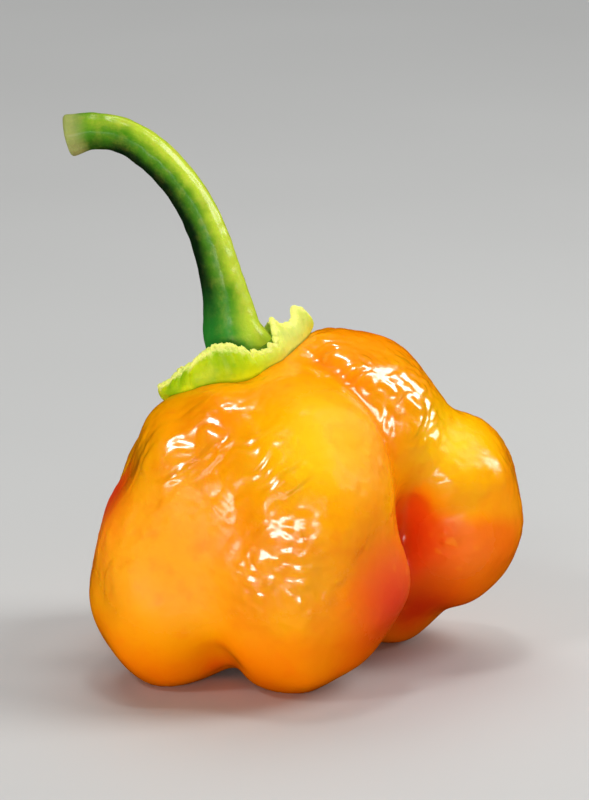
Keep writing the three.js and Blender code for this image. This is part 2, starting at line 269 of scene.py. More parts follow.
# The broken end: angles of the rings round its edge and how far each has turned pale, and
# the rings across its face.
SCAR_ROUNDING = 0.35
SCAR_EDGE_ANGLES = np.radians((30, 60, 90))
SCAR_EDGE_SHARES = (0.15, 0.4, 0.8)
SCAR_FACE_SHARES = (0.85, 0.7, 0.5, 0.3, 0.12)
SCAR_HOLLOW = 0.22
SCAR_GRAIN_RATE = 2.2
SCAR_GRAIN_HEIGHT = 0.16

# ---- the camera and the light, in metres ----

VIEW_TARGET = Vector((0.0, -0.002, 0.0289))
VIEW_ELEVATION = 14  # degrees
VIEW_DISTANCE = 0.4
VIEW_HEIGHT = 0.0841  # what the camera takes in at the target, from top to bottom
SENSOR = 36  # millimetres, from top to bottom too
FLOOR_REACH = 3.0
SKY_COLOUR = (0.9, 0.94, 1.0, 1.0)
SKY_STRENGTH = 0.12

# The soft lights: place, direction of the long side, length, width, power in watts, and
# whether they show as a highlight.
SOFTBOXES = {
    "top_light": ((0.0, 0.04, 0.48), (1.0, 0.0, 0.0), 0.07, 0.05, 0.3, True),
    "right_light": ((0.34, 0.03, 0.3), (0.62, 0.0, -0.75), 0.34, 0.14, 1.35, True),
    "left_light": ((-0.25, -0.23, 0.36), (1.0, -1.0, 0.0), 0.08, 0.07, 0.38, True),
    "front_light": ((-0.15, -0.49, 0.05), (1.0, -0.3, 0.0), 0.7, 0.1, 2.2, True),
    "back_light": ((0.0, 0.7, 1.1), (1.0, 0.0, 0.0), 1.2, 1.0, 11.0, False),
}


# ---- the fruit's surface ----

def lobe_distances(points):
    """Distance from each point to each lobe, negative inside, good close to its surface."""
    rows = []
    for centre, radii, lean in LOBES.values():
        away = points - np.array(centre)
        cos, sin = math.cos(math.radians(lean)), math.sin(math.radians(lean))
        along = away[:, 0] * cos - away[:, 2] * sin
        up = away[:, 0] * sin + away[:, 2] * cos
        scaled = np.stack([along, away[:, 1], up], axis=1) / radii
        share = np.linalg.norm(scaled, axis=1)
        slope = np.linalg.norm(scaled / radii, axis=1)
        rows.append(share * (share - 1) / np.maximum(slope, TINY))
    return np.array(rows)


def pressed_in(points):
    """How far the hollows and the soft dimples press the skin in."""
    depth = np.zeros(len(points))
    for i, wave in enumerate(DIMPLE_WAVES):
        depth += DIMPLE_DEPTH * np.sin(points @ wave + i)
    for centre, reach, deepest in HOLLOWS.values():
        away = np.linalg.norm(points - np.array(centre), axis=1)
        depth += deepest * np.exp(-((away / reach) ** 2))
    for route, reach, deepest in CREASES.values():
        depth += deepest * np.exp(-((distance_to_route(points, route) / reach) ** 2))
    return depth


def distance_to_route(points, route):
    """Distance from each point to the nearest of the straight stretches of a route."""
    nearest = np.full(len(points), np.inf)
    stops = np.array(route)
    for start, end in zip(stops, stops[1:]):
        stretch = end - start
        share = np.clip((points - start) @ stretch / (stretch @ stretch), 0, 1)
        away = points - start - share[:, None] * stretch
        nearest = np.minimum(nearest, np.linalg.norm(away, axis=1))
    return nearest


def skin_distance(points):
    """Distance to the skin, negative inside: the lobes run softly into each other."""
    gaps = lobe_distances(points)
    nearest = gaps.min(axis=0)
    total = np.exp((nearest - gaps) / FURROW_SOFTNESS).sum(axis=0)
    return nearest - FURROW_SOFTNESS * np.log(total) + pressed_in(points)


def skin_slope(points):
    slope = np.empty_like(points)
    for axis, step in enumerate(np.eye(3) * SLOPE_STEP):
        change = skin_distance(points + step) - skin_distance(points - step)
        slope[:, axis] = change / (2 * SLOPE_STEP)
    return slope


def snap_to_skin(points):
    slope = skin_slope(points)
    share = skin_distance(points) / (slope ** 2).sum(axis=1)
    return points - slope * share[:, None]


def meet_skin(starts, directions):
    """Goes from each start along its direction until it meets the skin from outside."""
    points = starts.copy()
    for _ in range(TRACE_STEPS):
        points += directions * (TRACE_STRIDE * skin_distance(points))[:, None]
    return points


def settle(points, edges):
    """Evens out the spacing of the points and keeps them on the skin."""
    counts = np.bincount(edges.ravel(), minlength=len(points))[:, None]
    for _ in range(SETTLE_ROUNDS):
        sums = np.zeros_like(points)
        np.add.at(sums, edges[:, 0], points[edges[:, 1]])
        np.add.at(sums, edges[:, 1], points[edges[:, 0]])
        points = points + SETTLE_SHARE * (sums / counts - points)
        points = snap_to_skin(points)
    return points


def skin_cage():
    """An even net of squares over the fruit, made from a cube."""
    net = bmesh.new()
    bmesh.ops.create_cube(net, size=2)
    cuts = FRUIT_DIVISIONS - 1
    bmesh.ops.subdivide_edges(net, edges=net.edges[:], cuts=cuts, use_grid_fill=True)
    mesh = bpy.data.meshes.new("fruit_cage")
    net.to_mesh(mesh)
    net.free()
    outward = np.tan(read_points(mesh) * math.pi / 4)  # spaces the rays more evenly
    outward /= np.linalg.norm(outward, axis=1)[:, None]
    points = meet_skin(FRUIT_MIDDLE + outward * FRUIT_REACH, -outward)
    write_points(mesh, settle(points, read_edges(mesh)))
    return mesh


# ---- the fruit's relief ----

def patch_weight(points, patches):
    weight = np.zeros(len(points))
    for middle, reach in patches:
        away = np.linalg.norm(points - np.array(middle), axis=1)
        weight = np.maximum(weight, np.exp(-((away / reach) ** 2)))
    return weight


def uneven_patches(points):
    """How strong the relief happens to be on the rest of the skin."""
    cloud = np.array([noise.noise(Vector(point) / PATCH_SIZE) for point in points])
    return np.clip(PATCH_MIDDLE + PATCH_CONTRAST * cloud, 0, 1) * PATCH_STRENGTH


def wrinkle(place):
    """A rounded, slanting fold, from near 0 in its crease to about 1 on its crest."""
    slid = place - WRINKLE_SLANT * place.dot(WRINKLE_SLANT) * (1 - WRINKLE_STRETCH)
    return math.hypot(noise.noise(slid / WRINKLE_SIZE), CREASE_ROUNDING) / NOISE_REACH


def cell(place):
    """A swollen cell, from 0 at its edge to about 1 at its middle."""
    near, second = noise.voronoi(place / CELL_SIZE)[0][:2]
    return min(1.0, (second - near) * CELL_STEEPNESS) ** CELL_FULLNESS


def relief(points, puckered, gathered, celled):
    """Height of the wrinkles and cells over the smooth skin."""
    folded = WRINKLE_HEIGHT * puckered + GATHER_HEIGHT * gathered
    heights = np.empty(len(points))
    for i, point in enumerate(points):
        place = Vector(point)
        place += noise.noise_vector(place / WARP_SIZE) * WARP_REACH
        fold = folded[i] * (wrinkle(place) - WRINKLE_LEVEL)
        swell = CELL_HEIGHT * celled[i] * (cell(place) - CELL_LEVEL)
        heights[i] = fold + swell
    return heights


def relief_shares(points):
    """How much of each kind of relief each point has, from 0 to 1."""
    spread = LEAST_RELIEF + (1 - LEAST_RELIEF) * uneven_patches(points)
    spread *= np.clip((points[:, 2] - SMOOTH_BELOW) / SMOOTH_BELOW, 0, 1)
    return {
        "puckered": np.maximum(patch_weight(points, PUCKERED), spread * PUCKER_SPREAD),
        "gathered": patch_weight(points, GATHERED),
        "celled": np.maximum(patch_weight(points, CELLED), spread * CELL_SPREAD),
    }


def edge_share(points):
    """1 in the crease along the front lobe's edge, 0 away from it."""
    edge, width, _ = CREASES["front_edge"]
    return np.exp(-((distance_to_route(points, edge) / (width * EDGE_SHARE)) ** 2))


def enclosed_share(points, normals):
    """1 where the lobes close in over the skin, 0 where it lies open."""
    return 1 - skin_distance(points + FURROW_LIFT * normals) / FURROW_LIFT


def fruit_mesh():
    mesh = subdivided(skin_cage(), SUBDIVISION_LEVELS)
    points = read_points(mesh)
    for _ in range(SNAP_ROUNDS):
        points = snap_to_skin(points)
    normals = skin_slope(points)
    normals /= np.linalg.norm(normals, axis=1)[:, None]
    shares = relief_shares(points)
    heights = relief(points, **shares)
    shares["crest"] = heights / WRINKLE_HEIGHT + 0.5
    shares["crease_shade"] = edge_share(points)
    shares["furrow"] = enclosed_share(points, normals)
    points = points + normals * heights[:, None]
    points[:, 2] = np.maximum(points[:, 2], 0)
    write_points(mesh, points)
    for name, values in shares.items():
        write_shares(mesh, name, values)
    return mesh


# ---- curves ----

def curve_through(points, closed, shares):
    """Points at shares from 0 to 1 along a centripetal Catmull-Rom curve."""
    points = np.asarray(points, dtype=float)
    count = len(points)
    spans = count if closed else count - 1
    place = np.asarray(shares) * spans
    span = np.minimum(np.floor(place).astype(int), spans - 1)
    weight = (place - span)[:, None]
    if closed:
        row = [points[(span + step) % count] for step in (-1, 0, 1, 2)]
    else:
        before, after = 2 * points[0] - points[1], 2 * points[-1] - points[-2]
        padded = np.vstack([before, points, after])
        row = [padded[span + step] for step in (0, 1, 2, 3)]
    reach = [np.sqrt(np.linalg.norm(b - a, axis=1))[:, None] for a, b in zip(row, row[1:])]
    leave = (row[1] - row[0]) / reach[0] - (row[2] - row[0]) / (reach[0] + reach[1])
    leave = (leave + (row[2] - row[1]) / reach[1]) * reach[1]
    arrive = (row[2] - row[1]) / reach[1] - (row[3] - row[1]) / (reach[1] + reach[2])
    arrive = (arrive + (row[3] - row[2]) / reach[2]) * reach[1]
    square = -3 * row[1] + 3 * row[2] - 2 * leave - arrive
    cube = 2 * row[1] - 2 * row[2] + leave + arrive
    return row[1] + leave * weight + square * weight ** 2 + cube * weight ** 3


def ring_noise(rate, layer):
    """Smooth uneven heights round the calyx, which meet where it closes."""
    angles = np.arange(CALYX_SIDES) / CALYX_SIDES * 2 * math.pi
    heights = [
        noise.noise(Vector((rate * math.cos(angle), rate * math.sin(angle), layer)))
        for angle in angles
    ]
    return np.array(heights)[:, None]


# ---- the calyx's surface ----

CALYX_TILT = Matrix.Translation(CALYX_MIDDLE) @ Matrix.Rotation(
    math.radians(-CALYX_LEAN), 4, "Y"
)


def tilted(points):
    """From the calyx's own plane into the frame of the part."""
    turn = np.array(CALYX_TILT)
    return points @ turn[:3, :3].T + turn[:3, 3]


def seat_heights(places):
    """Height of the fruit's skin over the calyx's plane, at places on that plane."""
    starts = places.copy()
    starts[:, 2] = SEAT_CLEARANCE
    down = -np.array(CALYX_TILT)[:3, 2]
    starts = tilted(starts)
    met = meet_skin(starts, np.tile(down, (len(starts), 1)))
    return SEAT_CLEARANCE - np.linalg.norm(met - starts, axis=1)


def ruffle_curve(radii, heights):
    angles = [math.radians(ruffle[0]) for ruffle in RUFFLES]
    points = [
        (radius * math.cos(angle), radius * math.sin(angle), height)
        for angle, radius, height in zip(angles, radii, heights)
    ]
    return curve_through(points, True, np.arange(CALYX_SIDES) / CALYX_SIDES)


def outward_of(points):
    flat = points * (1, 1, 0)
    return flat / np.maximum(np.linalg.norm(flat, axis=1), TINY)[:, None]


def ruffled_rim():
    """The rim with its scallops and frays, the way out from it, and its frills."""
    rim = ruffle_curve([ruffle[2] for ruffle in RUFFLES], [ruffle[3] for ruffle in RUFFLES])
    outward = outward_of(rim)
    frills = ring_noise(*FRILLS)
    raised = SCALLOP_HEIGHT * ring_noise(*SCALLOPS) + FRAY_HEIGHT * ring_noise(*FRAYS)
    rim = rim + UP * raised + outward * FRILL_REACH * frills
    return rim, outward, frills


def underside_rings(foot):
    """From the middle out, pressed into the fruit's skin."""
    rings = []
    for share in UNDERSIDE_SHARES:
        ring = foot * share
        ring[:, 2] = seat_heights(ring) - CALYX_SINK
        rings.append((ring, 0.0, 0.0))
    return rings


def wall_rings(seat, rim, outward, veins):
    """Up the outside, from the skin to under the lip."""
    rings = []
    for share in WALL_SHARES:
        bulge = CALYX_BULGE * math.sin(math.pi * share) + veins * share
        rings.append((seat + (rim - seat) * share + outward * bulge, share, 0.0))
    return rings


def lip_rings(lip_middle, outward, frills):
    """Over the rolled edge."""
    rings = []
    reach = LIP_RADIUS * (1 + LIP_SWING * frills)
    for angle in LIP_ANGLES:
        ring = lip_middle + outward * reach * math.cos(angle) + UP * reach * math.sin(angle)
        rings.append((ring, 1.0, 0.5 - 0.5 * math.cos(angle)))
    return rings


def inner_rings(lip_middle, inner_foot, outward, veins):
    """Down the inside of the wall."""
    turned_in = outward * LIP_RADIUS * LIP_TURN_IN + UP * LIP_RADIUS * LIP_TURN_DOWN
    top = lip_middle - turned_in
    rings = []
    for share in INNER_SHARES:
        rings.append((top + (inner_foot - top) * share + outward * veins, 1 - share, 1.0))
    return rings


def bowl_rings(inner_foot, hub, veins):
    """Across the bottom of the cup to the hub that the stalk stands in."""
    rings = []
    for share in BOWL_SHARES:
        sag = UP * veins * (1 - share)
        rings.append((inner_foot + (hub - inner_foot) * share + sag, 0.0, 1.0))
    return rings


def calyx_rings():
    """The rings of the calyx from the middle of its underside, over its rim, to its hub,
    each with its share of the way to the rim and its share of the inside."""
    foot = ruffle_curve([ruffle[1] for ruffle in RUFFLES], [0] * len(RUFFLES))
    seat = foot.copy()
    seat[:, 2] = seat_heights(foot)
    rim, outward, frills = ruffled_rim()
    veins = VEIN_HEIGHT * ring_noise(*VEINS)
    lip_middle = rim - outward * CALYX_WALL / 2
    inner_foot = seat + UP * CALYX_FLOOR - outward_of(foot) * CALYX_WALL
    hub = outward_of(foot) * HUB_RADIUS + UP * HUB_HEIGHT
    return [
        *underside_rings(foot),
        *wall_rings(seat, rim, outward, veins),
        *lip_rings(lip_middle, outward, frills),
        *inner_rings(lip_middle, inner_foot, outward, veins),
        *bowl_rings(inner_foot, hub, veins),
    ]


def calyx_mesh():
    rings = calyx_rings()
    mesh = closed_surface("calyx", [tilted(ring) for ring, _, _ in rings])
    write_ring_shares(mesh, "rim", [share for _, share, _ in rings])
    write_ring_shares(mesh, "inside", [share for _, _, share in rings])
    return mesh


# ---- the stalk's surface ----

def stalk_line():
    """Even steps along the stalk: its middle, its direction and its radius."""
    axis = np.array(CALYX_TILT)[:3, 2]
    start = np.array(CALYX_MIDDLE) + axis * (HUB_HEIGHT - STALK_SINK)
    middles = [start, *(np.array(at) for at, _ in STALK)]
    radii = [STALK_FOOT_RADIUS, *(radius for _, radius in STALK)]
    fine = np.linspace(0, 1, STALK_MEASURE_STEPS)
    path = curve_through(middles, False, fine)
    girth = curve_through([(i, radius, 0) for i, radius in enumerate(radii)], False, fine)
    travelled = np.concatenate([[0], np.cumsum(np.linalg.norm(np.diff(path, axis=0), axis=1))])
    steps = np.linspace(0, travelled[-1], STALK_STEPS + 1)
    middle = np.stack([np.interp(steps, travelled, path[:, axis]) for axis in range(3)], axis=1)
    radius = np.interp(steps, travelled, girth[:, 1])
    tangent = np.gradient(middle, axis=0)
    tangent /= np.linalg.norm(tangent, axis=1)[:, None]
    return middle, tangent, radius, steps


def carried_normals(tangents):
    """A normal for each step, carried along the line without twisting."""
    sideways = Vector((0, 1, 0))
    first = Vector(tangents[0])
    normal = first.cross(first.cross(sideways)).normalized()
    normals = [normal]
    for before, after in zip(tangents, tangents[1:]):
        turn = Vector(before).rotation_difference(Vector(after))
        normal = turn @ normal
        normals.append(normal)
    return np.array(normals)


def stalk_ring(middle, normal, binormal, radius, travelled):
    """One section with soft ribs, fine lengthwise lines and low bumps."""
    points = []
    for side in range(STALK_SIDES):
        angle = side / STALK_SIDES * 2 * math.pi
        outward = normal * math.cos(angle) + binormal * math.sin(angle)
        reach = radius * (1 + STALK_RIB_SHARE * math.cos(STALK_RIBS * angle))
        around = Vector((math.cos(angle), math.sin(angle), 0)) * STRIA_RATE
        lines = noise.noise(around + Vector((0, 0, travelled / STRIA_LENGTH)))
        knobs = noise.noise(Vector(middle + outward * radius) / KNOB_SIZE)
        reach += STRIA_HEIGHT * lines + KNOB_HEIGHT * knobs
        points.append(middle + outward * reach)
    return np.array(points)


def scar_rings(last, middle, tangent):
    """The broken end: a rounded edge, then a rough, slightly hollow face."""
    rings = []
    radius = np.linalg.norm(last - middle, axis=1).mean()
    for angle in SCAR_EDGE_ANGLES:
        drawn_in = SCAR_ROUNDING * (1 - math.cos(angle)) / radius
        ring = last + (middle - last) * drawn_in + tangent * SCAR_ROUNDING * math.sin(angle)
        rings.append(ring)
    edge = rings[-1]
    centre = middle + tangent * SCAR_ROUNDING
    for share in SCAR_FACE_SHARES:
        ring = centre + (edge - centre) * share
        rough = np.array([noise.noise(Vector(point) * SCAR_GRAIN_RATE) for point in ring])
        depth = SCAR_HOLLOW * (1 - share ** 2) + SCAR_GRAIN_HEIGHT * rough
        rings.append(ring - np.outer(depth, tangent))
    return rings


def lit_side_shares(rings, middles):
    """How far each point of the rings faces the painted light, from 0 to 1."""
    outward = np.vstack([ring - middle for ring, middle in zip(rings, middles)])
    facing = outward @ PAINTED_LIGHT_FROM / np.linalg.norm(outward, axis=1)
    return 0.5 + 0.5 * facing


def stalk_mesh():
    middles, tangents, radii, steps = stalk_line()
    normals = carried_normals(tangents)
    binormals = np.cross(tangents, normals)
    rings = [stalk_ring(*row) for row in zip(middles, normals, binormals, radii, steps)]
    scar = scar_rings(rings[-1], middles[-1], tangents[-1])
    mesh = closed_surface("stalk", rings + scar)
    lit_side = np.full(len(mesh.vertices), 0.5)
    facing = lit_side_shares(rings, middles)
    lit_side[1:len(facing) + 1] = facing
    write_shares(mesh, "lit_side", lit_side)
    write_ring_shares(mesh, "along", [*(steps / steps[-1]), *[1.0] * len(scar)])
    broken = [*SCAR_EDGE_SHARES, *[1.0] * len(SCAR_FACE_SHARES)]
    write_ring_shares(mesh, "scar", [0.0] * len(rings) + broken)
    return mesh


# ---- meshes ----

def read_points(mesh):
    flat = np.empty(len(mesh.vertices) * 3)
    mesh.vertices.foreach_get("co", flat)
    return flat.reshape(-1, 3)


def write_points(mesh, points):
    mesh.vertices.foreach_set("co", np.ascontiguousarray(points).ravel())
    mesh.update()


def read_edges(mesh):
    flat = np.empty(len(mesh.edges) * 2, dtype=np.int32)
    mesh.edges.foreach_get("vertices", flat)
    return flat.reshape(-1, 2)


def write_shares(mesh, name, values):
    """Keeps a value from 0 to 1 at each point, for the material to read."""
    attribute = mesh.attributes.new(name, "FLOAT", "POINT")
    attribute.data.foreach_set("value", np.clip(values, 0, 1).astype(np.float32))


def write_ring_shares(mesh, name, shares):
    """The same value all round each ring of a closed surface, and at its two ends."""
    sides = (len(mesh.vertices) - 2) // len(shares)
    write_shares(mesh, name, np.array([shares[0], *np.repeat(shares, sides), shares[-1]]))


def subdivided(mesh, levels):
    holder = bpy.data.objects.new("subdivision_holder", mesh)
    bpy.context.scene.collection.objects.link(holder)
    modifier = holder.modifiers.new("smooth", "SUBSURF")
    modifier.levels = levels
    evaluated = holder.evaluated_get(bpy.context.evaluated_depsgraph_get())
    finer = bpy.data.meshes.new_from_object(evaluated)
    bpy.data.objects.remove(holder)
    bpy.data.meshes.remove(mesh)
    return finer


def closed_surface(name, rings):
    """Quads between the rings, and a fan of triangles across each end."""
    sides = len(rings[0])
    points = np.vstack([rings[0].mean(axis=0), *rings, rings[-1].mean(axis=0)])
    end = len(points) - 1
    faces = []
    for side in range(sides):
        following = (side + 1) % sides
        faces.append((0, 1 + following, 1 + side))
        for row in range(len(rings) - 1):
            low = 1 + row * sides
            high = low + sides
            faces.append((low + side, low + following, high + following, high + side))
        faces.append((end - sides + side, end - sides + following, end))
    mesh = bpy.data.meshes.new(name)
    mesh.from_pydata(points.tolist(), [], faces)
    mesh.update()
    return mesh


def add_piece(name, mesh, node, material):
    """Puts a mesh made in millimetres in place of its node."""
    mesh.transform(Matrix.Scale(MM, 4))
    mesh.shade_smooth()
    mesh.materials.clear()
    mesh.materials.append(material)
    piece = bpy.data.objects.new(name, mesh)
    bpy.context.scene.collection.objects.link(piece)
    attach(piece, "root")
    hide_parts(node)


# ---- materials ----

class Value:
    """What a node of a material gives. Arithmetic on a number adds Math nodes."""

    def __init__(self, finish, socket):
        self.finish = finish
        self.socket = socket

    def math(self, operation, *numbers):
        sockets = dict(enumerate(numbers))
        return self.finish.add("ShaderNodeMath", {"operation": operation}, sockets)

    def __add__(self, other):
        return self.math("ADD", self, other)

    __radd__ = __add__

    def __sub__(self, other):
        return self.math("SUBTRACT", self, other)

    def __rsub__(self, other):
        return self.math("SUBTRACT", other, self)

    def __mul__(self, other):
        return self.math("MULTIPLY", self, other)

    __rmul__ = __mul__

    def __pow__(self, other):
        return self.math("POWER", self, other)


class Finish:
    """A material in the making."""

    def __init__(self, name):
        self.material = bpy.data.materials.new(name)
        self.material.use_nodes = True
        self.tree = self.material.node_tree
        self.shader = self.tree.nodes["Principled BSDF"]

    def add(self, kind, settings, sockets, output=0):
        """Adds a node, makes its settings, then gives its sockets their values or links."""
        node = self.tree.nodes.new(kind)
        for name, setting in settings.items():
            setattr(node, name, setting)
        for name, value in sockets.items():
            self.feed(node.inputs[name], value)
        return Value(self, node.outputs[output])

    def feed(self, socket, value):
        if isinstance(value, Value):
            self.tree.links.new(value.socket, socket)
        else:
            socket.default_value = value

    def surface(self, **sockets):
        """Feeds the shader's own sockets, named with _ for each space."""
        for name, value in sockets.items():
            self.feed(self.shader.inputs[name.replace("_", " ")], value)

    def place(self):
        """Where a point is on the object, in millimetres."""
        metres = self.add("ShaderNodeTexCoord", {}, {}, "Object")
        return self.vector("SCALE", {0: metres, "Scale": 1 / MM})

    def vector(self, operation, sockets, output=0):
        return self.add("ShaderNodeVectorMath", {"operation": operation}, sockets, output)

    def share(self, name):
        """A value that the mesh keeps at its points."""
        return self.add("ShaderNodeAttribute", {"attribute_name": name}, {}, "Fac")

    def noise(self, place, size, detail, roughness=0.5):
        sockets = {"Vector": place, "Scale": 1 / size, "Detail": detail, "Roughness": roughness}
        return self.add("ShaderNodeTexNoise", {}, sockets, "Fac")

    def cells(self, place, size):
        """Distance from the middle of the nearest cell, in shares of their size."""
        sockets = {"Vector": place, "Scale": 1 / size}
        return self.add("ShaderNodeTexVoronoi", {"feature": "SMOOTH_F1"}, sockets, "Distance")

    def drawn_out(self, place, along, stretch):
        """Shortens distances along a direction, so what is made from them is drawn out."""
        reach = self.vector("DOT_PRODUCT", {0: place, 1: along}, "Value")
        shift = self.vector("SCALE", {0: along, "Scale": reach * (1 - stretch)})
        return self.vector("SUBTRACT", {0: place, 1: shift})

    def rise(self, value, low, high):
        """0 below low, 1 above high, with a soft step between them."""
        sockets = {"Value": value, "From Min": low, "From Max": high}
        return self.add("ShaderNodeMapRange", {"interpolation_type": "SMOOTHSTEP"}, sockets)

    def upward(self, place):
        """The height of a place."""
        return self.add("ShaderNodeSeparateXYZ", {}, {0: place}, "Z")

    def spot(self, place, centre, reach):
        """A soft round patch: 1 at its centre, 0 at its reach."""
        away = self.vector("DISTANCE", {0: place, 1: centre}, "Value")
        return 1 - self.rise(away, 0.0, reach)

    def mix(self, share, first, second):
        """One colour turned into another."""
        sockets = {0: share, 6: first, 7: second}
        settings = {"data_type": "RGBA"}
        return self.add("ShaderNodeMix", settings, sockets, 2)

    def tinted(self, tone, tint, mask, strength=1.0):
        """A tone with a tint laid over it where the mask is."""
        return self.mix(mask * strength, tone, tint)

    def bump(self, height, depth):
        """A normal from a height, in shares of a depth in millimetres."""
        return self.add("ShaderNodeBump", {}, {"Height": height, "Distance": depth * MM})


def colour(red, green, blue):
    """A screen colour, from 0 to 255 each, as the shader's linear values."""
    levels = [level / 255 for level in (red, green, blue)]
    linear = [
        level / 12.92 if level <= 0.04045 else ((level + 0.055) / 1.055) ** 2.4
        for level in levels
    ]
    return (*linear, 1.0)


ORANGE = colour(250, 146, 0)
AMBER = colour(252, 162, 0)
YELLOW = colour(255, 196, 0)
DEEP_ORANGE = colour(240, 94, 0)
RED_ORANGE = colour(216, 46, 0)
FURROW_SHADE_RED = colour(248, 74, 12)
UNDERSIDE_SHADE_RED = colour(190, 34, 6)
SCAR_BROWN = colour(120, 78, 40)

# Soft changes of the skin's colour: centre and reach in millimetres, strength, colour.
# The ones marked below are painted light and painted shade.
SKIN_TONES = [
    # painted light: yellower on the tops of the front lobe and the right lobe, which face the light
    ((1.6, -16.4, 27.5), 11.0, 0.9, YELLOW),
    ((16.5, -2.0, 24.5), 9.0, 1.0, YELLOW),
    ((-14.0, -15.0, 9.0), 10.0, 0.7, AMBER),
    # painted shade: deeper orange and red down the front lobe's lower right, which faces away from
    # the light
    ((9.5, -13.0, 9.0), 12.0, 0.9, DEEP_ORANGE),
    ((9.8, -12.5, 10.0), 10.5, 0.95, RED_ORANGE),
    # painted shade: red in the pit of the furrow
    ((12.7, -2.1, 14.5), 7.5, 0.95, FURROW_SHADE_RED),
    ((-19.8, -6.5, 20.6), 7.5, 1.0, RED_ORANGE),
    ((-21.0, -3.0, 18.0), 9.0, 0.8, RED_ORANGE),
    ((-23.0, -5.0, 13.0), 7.0, 0.8, DEEP_ORANGE),
    ((8.6, 6.0, 34.0), 8.0, 0.5, DEEP_ORANGE),
]
BORDER_WANDER = 2.0  # millimetres by which the colours' level borders go up and down
# the middle of the painted shade low down on the right
RIGHT_BELLY = (16.5, -2.0, 11.0)
# the middle of the painted shade under the right lobe
RIGHT_UNDERSIDE = (13.5, -1.5, 4.5)
BLOSSOM_SCAR = (-1.0, 0.5, 5.6)

# Where the skin is duller and its wet gloss fades: centre, reach and strength.
DULL_SPOTS = [
    ((-13.0, -14.5, 15.5), 11.0, 1.0),
    ((5.0, -13.5, 27.0), 9.0, 1.0),
    ((17.0, -4.0, 13.5), 6.0, 0.8),
    ((10.0, -12.5, 12.0), 9.0, 0.8),
    ((-21.0, -5.0, 18.0), 8.0, 1.0),
    ((17.0, -2.0, 23.5), 5.0, 0.7),
]


def skin_tone(finish, place):
    """Orange. Painted light makes it more yellow on the tops that face the light; painted shade
    makes it redder in the furrow, down the front lobe's right flank, under the right lobe, in
    the wrinkles' creases and towards the bottom. It is also redder down the left side."""
    clouds = finish.noise(place, size=9.0, detail=3.0)
    tone = finish.mix(finish.rise(clouds, low=0.38, high=0.66), ORANGE, AMBER)
    for centre, reach, strength, tint in SKIN_TONES:
        tone = finish.tinted(tone, tint, finish.spot(place, centre, reach), strength)
    height = finish.upward(place) + BORDER_WANDER * (clouds - 0.5)
    low_down = 1 - finish.rise(height, low=14.0, high=19.0)
    # painted shade: deeper orange low down on the right, below the right lobe's crease and on the
    # front lobe's flank
    under = finish.spot(place, RIGHT_BELLY, reach=13.0) * low_down
    belly_shade = finish.rise(under, low=0.05, high=0.5)
    tone = finish.tinted(tone, DEEP_ORANGE, belly_shade, strength=0.7)
    # painted shade: deeper orange towards the bottom
    feet_shade = 1 - finish.rise(height, low=1.0, high=11.0)
    tone = finish.tinted(tone, DEEP_ORANGE, feet_shade, strength=0.6)
    # painted shade: dark red under the right lobe
    tone = finish.tinted(tone, UNDERSIDE_SHADE_RED, finish.spot(place, RIGHT_UNDERSIDE, reach=9.5))
    # painted shade: redder where the lobes close in over the skin, in the furrows
    furrow_shade = finish.rise(finish.share("furrow"), low=0.25, high=0.8)
    tone = finish.tinted(tone, FURROW_SHADE_RED, furrow_shade, strength=0.85)
    mottling = finish.noise(place, size=2.6, detail=3.0, roughness=0.55)
    blotches = finish.rise(mottling, low=0.48, high=0.75)
    tone = finish.tinted(tone, DEEP_ORANGE, blotches, strength=0.2)
    # painted light and shade: the tops of the wrinkles paler than the creases between them
    crest_light = finish.rise(finish.share("crest"), low=0.55, high=0.95)
    tone = finish.tinted(tone, AMBER, crest_light, strength=0.3)
    tone = finish.tinted(tone, SCAR_BROWN, finish.spot(place, BLOSSOM_SCAR, reach=1.5))
    # painted shade: a deeper orange line in the crease along the front lobe's edge
    return finish.tinted(tone, DEEP_ORANGE, finish.share("crease_shade"), strength=0.5)


def fine_relief(finish, place, grain):
    """The skin's relief that is too fine for the mesh: pores, strokes, gathers and cells."""
    slanting = finish.drawn_out(place, WRINKLE_SLANT, WRINKLE_STRETCH)
    strokes = finish.rise(finish.noise(slanting, size=2.6, detail=0.4), low=0.5, high=0.68)
    gathers = finish.noise(slanting, size=1.5, detail=1.0)
    swollen = 1 - finish.cells(place, CELL_SIZE)
    height = 0.08 * grain + 1.2 * strokes * finish.share("puckered")
    height += 0.9 * gathers * finish.share("gathered")
    return height + 1.6 * swollen * finish.share("celled")


def skin_finish():
    finish = Finish("pepper_skin")
    place = finish.place()
    celled = finish.share("celled")
    spots = [finish.spot(place, centre, reach) * strength for centre, reach, strength in DULL_SPOTS]
    dull = sum(spots)
    wrinkled = finish.rise(finish.share("puckered"), low=0.3, high=0.8)
    wet = 0.9 * finish.share("gathered") + celled + 0.5 * wrinkled
    grain = finish.noise(place, size=0.5, detail=3.0, roughness=0.6)
    finish.surface(
        Base_Color=skin_tone(finish, place),
        Roughness=0.13 + 0.1 * grain + 0.5 * dull + 0.15 * celled,
        Normal=finish.bump(fine_relief(finish, place, grain), depth=0.3),
        Subsurface_Weight=0.3,
        Subsurface_Radius=(1.0, 0.32, 0.08),
        Subsurface_Scale=0.002,
        Specular_IOR_Level=0.28,
        Coat_Weight=wet * (1 - finish.rise(dull, low=0.0, high=0.4)),
        Coat_Roughness=0.15,
        Coat_IOR=1.95,
    )
    return finish.material


LEAF_GREEN = colour(140, 180, 0)
LIME = colour(206, 214, 0)
RIM_PALE = colour(252, 250, 140)
BOWL_GREEN = colour(84, 130, 6)
# the middle of the painted light over the right of the rim
RIGHT_CURL = (1.0, -2.0, 37.0)


